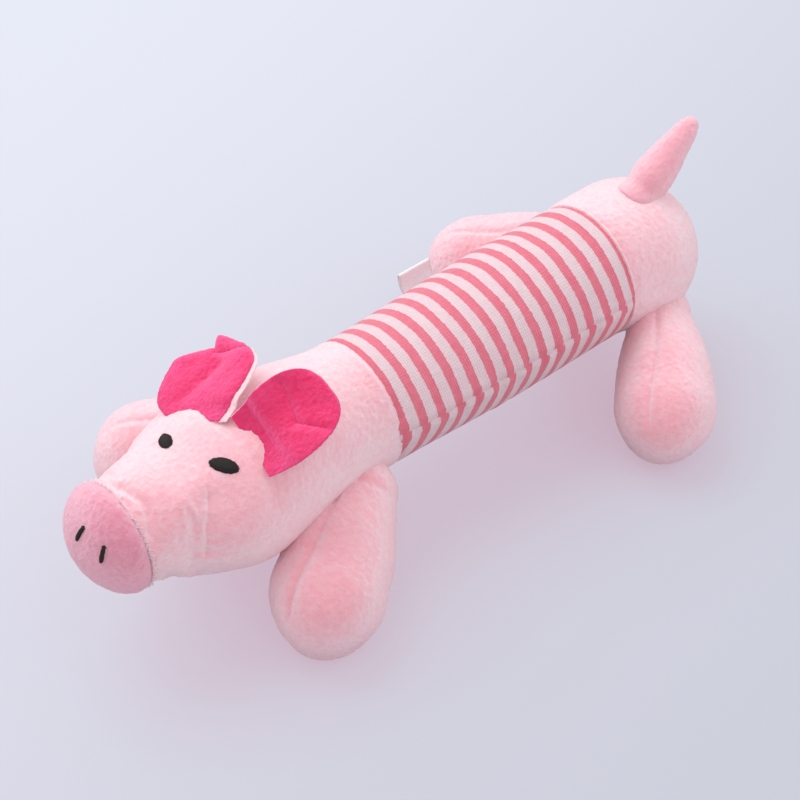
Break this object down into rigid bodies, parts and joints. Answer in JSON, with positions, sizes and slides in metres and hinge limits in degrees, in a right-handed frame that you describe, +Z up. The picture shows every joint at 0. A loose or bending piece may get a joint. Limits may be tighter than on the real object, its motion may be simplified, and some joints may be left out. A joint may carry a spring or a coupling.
{
  "type": "squeaky dog toy",
  "caption": "Plush pig dog toy with a long striped jersey tube body, splayed stuffed legs, flap ears, a cone tail and a bellows squeaker inside its back.",
  "frame": {"origin": "on the floor under the middle of the whole pig", "axes": "+X towards the nose, +Y to the pig's left, +Z up"},
  "size_m": [0.249, 0.1314, 0.0838],
  "materials": {
    "pale_plush": "short-pile plush",
    "striped_jersey": "knitted, striped",
    "nose_plush": "short-pile plush",
    "hot_pink_fleece": "brushed fleece",
    "black_thread": "satin stitch",
    "white_ribbon": "woven",
    "fibrefill": "loose fibre",
    "soft_polyethylene": "blow-moulded",
    "whistle_plastic": "moulded",
    "reed_film": "thin film"
  },
  "bodies": {
    "torso": {"rump_cover": "pale_plush", "back_panel": "striped_jersey", "belly_panel": "striped_jersey", "neck_cover": "pale_plush", "face_cover": "pale_plush", "nose_panel": "nose_plush", "eye_left": "black_thread", "eye_right": "black_thread", "nostril_left": "black_thread", "nostril_right": "black_thread", "side_tab": "white_ribbon", "squeaker_bellows": "soft_polyethylene", "squeaker_base": "soft_polyethylene", "whistle_body": "whistle_plastic", "whistle_reed": "reed_film", "head_stuffing": "fibrefill", "body_stuffing": "fibrefill", "rump_stuffing": "fibrefill"},
    "squeeze": {"back_patch": "striped_jersey", "press_stuffing": "fibrefill", "squeaker_crown": "soft_polyethylene"},
    "leg_front_left": {"leg_cover_front_left": "pale_plush", "leg_stuffing_front_left": "fibrefill"},
    "leg_front_right": {"leg_cover_front_right": "pale_plush", "leg_stuffing_front_right": "fibrefill"},
    "leg_hind_left": {"leg_cover_hind_left": "pale_plush", "leg_stuffing_hind_left": "fibrefill"},
    "leg_hind_right": {"leg_cover_hind_right": "pale_plush", "leg_stuffing_hind_right": "fibrefill"},
    "ear_left": {"ear_face_left": "hot_pink_fleece", "ear_back_left": "pale_plush"},
    "ear_right": {"ear_face_right": "hot_pink_fleece", "ear_back_right": "pale_plush"},
    "tail": {"tail_cover": "pale_plush", "tail_stuffing": "fibrefill"}
  },
  "joints": [
    {"name": "squeeze_press", "type": "slide", "parent": "torso", "child": "squeeze", "axis": [0, 0, -1], "range_m": [0, 0.008], "stiffness_N_per_m": 600, "deforming": ["squeaker_bellows"]},
    {"name": "leg_swing_front_left", "type": "hinge", "parent": "torso", "child": "leg_front_left", "pos_m": [0.0366, 0.02056, 0.02971], "axis": [0, 0, 1], "range_deg": [-2.5, 22], "stiffness_Nm_per_rad": 0.1},
    {"name": "leg_swing_front_right", "type": "hinge", "parent": "torso", "child": "leg_front_right", "pos_m": [0.0366, -0.02056, 0.02971], "axis": [0, 0, 1], "range_deg": [-22, 2.5], "stiffness_Nm_per_rad": 0.1},
    {"name": "leg_swing_hind_left", "type": "hinge", "parent": "torso", "child": "leg_hind_left", "pos_m": [-0.0934, 0.02132, 0.02628], "axis": [0, 0, 1], "range_deg": [-2.5, 22], "stiffness_Nm_per_rad": 0.1},
    {"name": "leg_swing_hind_right", "type": "hinge", "parent": "torso", "child": "leg_hind_right", "pos_m": [-0.0934, -0.02132, 0.02628], "axis": [0, 0, 1], "range_deg": [-22, 2.5], "stiffness_Nm_per_rad": 0.1},
    {"name": "ear_flap_left", "type": "hinge", "parent": "torso", "child": "ear_left", "pos_m": [0.06962, 0.013, 0.06474], "axis": [0, -0.9388, 0.3445], "range_deg": [-34, 5], "stiffness_Nm_per_rad": 0.01},
    {"name": "ear_flap_right", "type": "hinge", "parent": "torso", "child": "ear_right", "pos_m": [0.07264, -0.01308, 0.06439], "axis": [0, -0.9414, -0.3373], "range_deg": [-34, 5], "stiffness_Nm_per_rad": 0.01},
    {"name": "tail_wag", "type": "hinge", "parent": "torso", "child": "tail", "pos_m": [-0.1024, 0, 0.06416], "axis": [0.6561, 0, 0.7547], "range_deg": [-23, 23], "stiffness_Nm_per_rad": 0.03}
  ]
}
